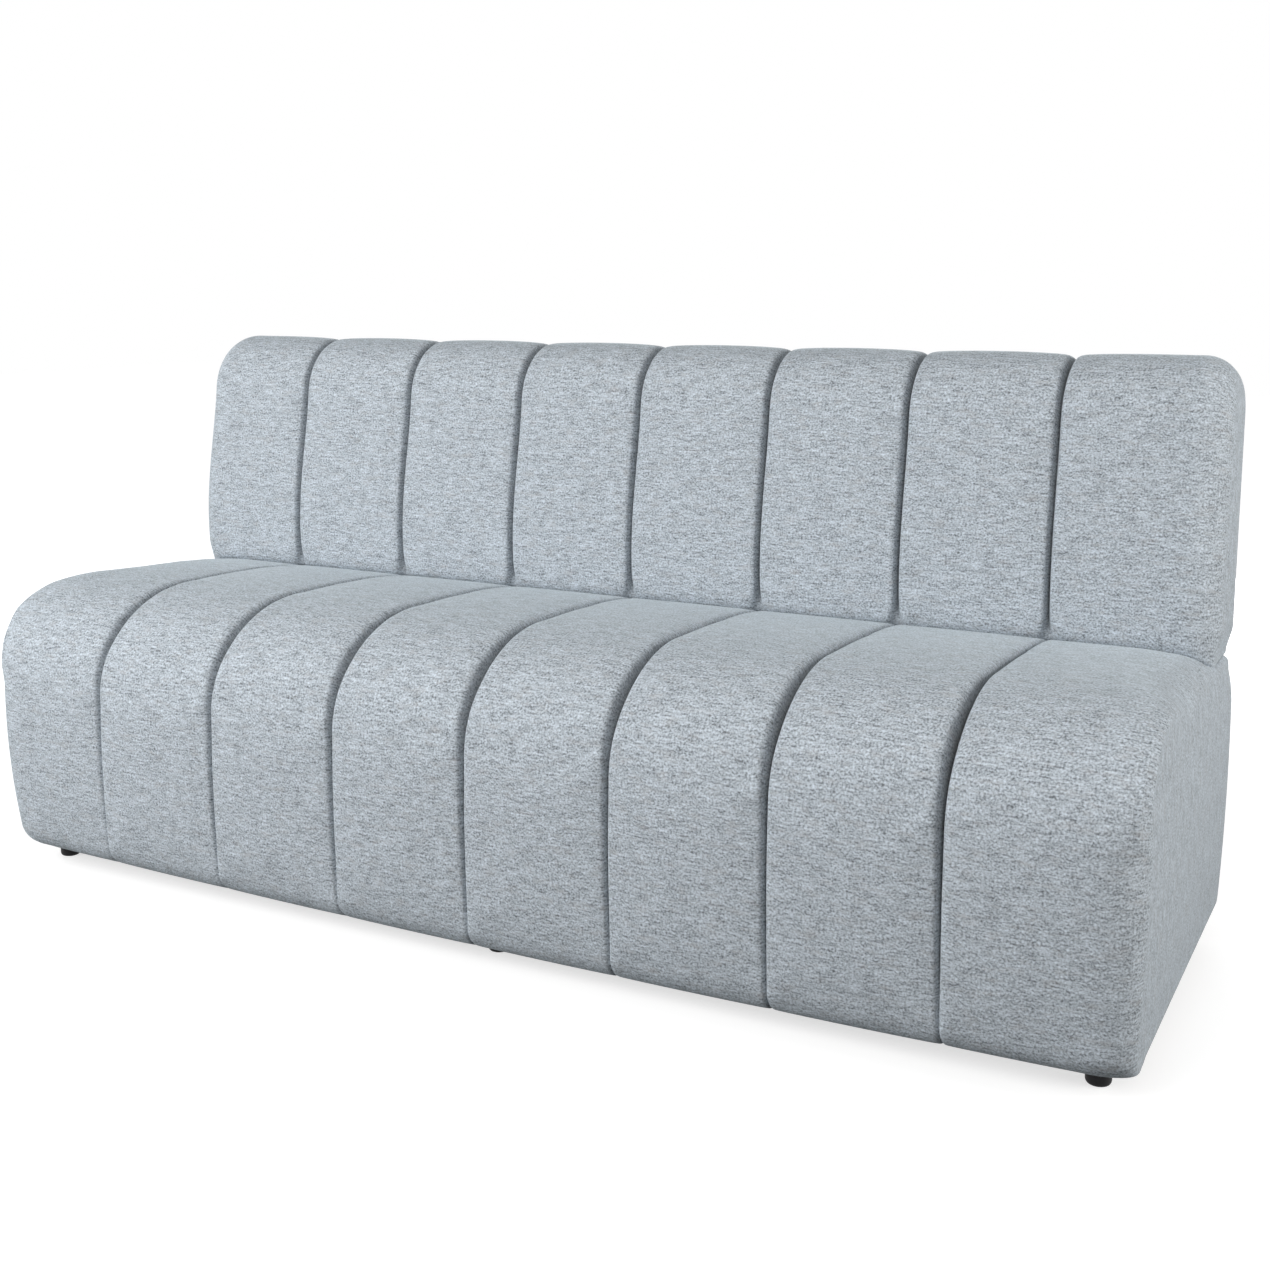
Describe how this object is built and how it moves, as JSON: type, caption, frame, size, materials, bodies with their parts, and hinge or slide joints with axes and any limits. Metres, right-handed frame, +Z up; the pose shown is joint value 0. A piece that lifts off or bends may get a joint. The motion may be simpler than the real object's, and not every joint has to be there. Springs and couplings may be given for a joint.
{
  "type": "dining sofa",
  "caption": "Armless upholstered dining sofa: channel-sewn seat block with a rolled front edge and a leaning channel-sewn back on small round feet.",
  "frame": {"origin": "on the floor, below the centre of the overall box", "axes": "+X runs along the sofa to the right of someone who looks at its front, +Y points to its rear and +Z points up"},
  "size_m": [1.82, 0.6898, 0.8506],
  "materials": {
    "heathered_fabric": "soft heathered weave, light blue-grey",
    "seat_foam": "cut open-cell polyurethane foam",
    "birch_plywood": "sanded, unfinished plywood",
    "pine": "planed, unfinished softwood",
    "hardboard": "smooth pressed hardboard",
    "elastic_webbing": "woven elastic webbing, black",
    "dust_cloth": "black spunbonded non-woven cloth",
    "black_plastic": "moulded black plastic, satin",
    "zinc_steel": "zinc-plated steel"
  },
  "bodies": {
    "root": {"seat_cover": "heathered_fabric", "back_cover": "heathered_fabric", "seat_core_foam": "seat_foam", "seat_front_foam": "seat_foam", "seat_left_end_foam": "seat_foam", "seat_right_end_foam": "seat_foam", "back_core_foam": "seat_foam", "base_front_board": "birch_plywood", "base_rear_board": "birch_plywood", "base_left_end_board": "birch_plywood", "base_right_end_board": "birch_plywood", "base_left_rib": "birch_plywood", "base_right_rib": "birch_plywood", "front_webbing_rail": "pine", "rear_webbing_rail": "pine", "seat_strap_1": "elastic_webbing", "seat_strap_2": "elastic_webbing", "seat_strap_3": "elastic_webbing", "seat_strap_4": "elastic_webbing", "seat_strap_5": "elastic_webbing", "seat_strap_6": "elastic_webbing", "seat_strap_7": "elastic_webbing", "seat_strap_8": "elastic_webbing", "back_post_1": "birch_plywood", "back_post_2": "birch_plywood", "back_post_3": "birch_plywood", "back_post_4": "birch_plywood", "back_bottom_rail": "pine", "back_top_rail": "pine", "back_face_panel": "hardboard", "back_rear_panel": "hardboard", "back_bolt_1_lower": "zinc_steel", "back_bolt_1_upper": "zinc_steel", "back_bolt_2_lower": "zinc_steel", "back_bolt_2_upper": "zinc_steel", "back_bolt_3_lower": "zinc_steel", "back_bolt_3_upper": "zinc_steel", "back_bolt_4_lower": "zinc_steel", "back_bolt_4_upper": "zinc_steel", "foot_block_front_left": "pine", "foot_block_front_centre": "pine", "foot_block_front_right": "pine", "foot_block_rear_left": "pine", "foot_block_rear_centre": "pine", "foot_block_rear_right": "pine", "foot_front_left": "black_plastic", "foot_front_centre": "black_plastic", "foot_front_right": "black_plastic", "foot_rear_left": "black_plastic", "foot_rear_centre": "black_plastic", "foot_rear_right": "black_plastic", "foot_screw_front_left": "zinc_steel", "foot_screw_front_centre": "zinc_steel", "foot_screw_front_right": "zinc_steel", "foot_screw_rear_left": "zinc_steel", "foot_screw_rear_centre": "zinc_steel", "foot_screw_rear_right": "zinc_steel", "dust_cover": "dust_cloth"}
  },
  "joints": []
}
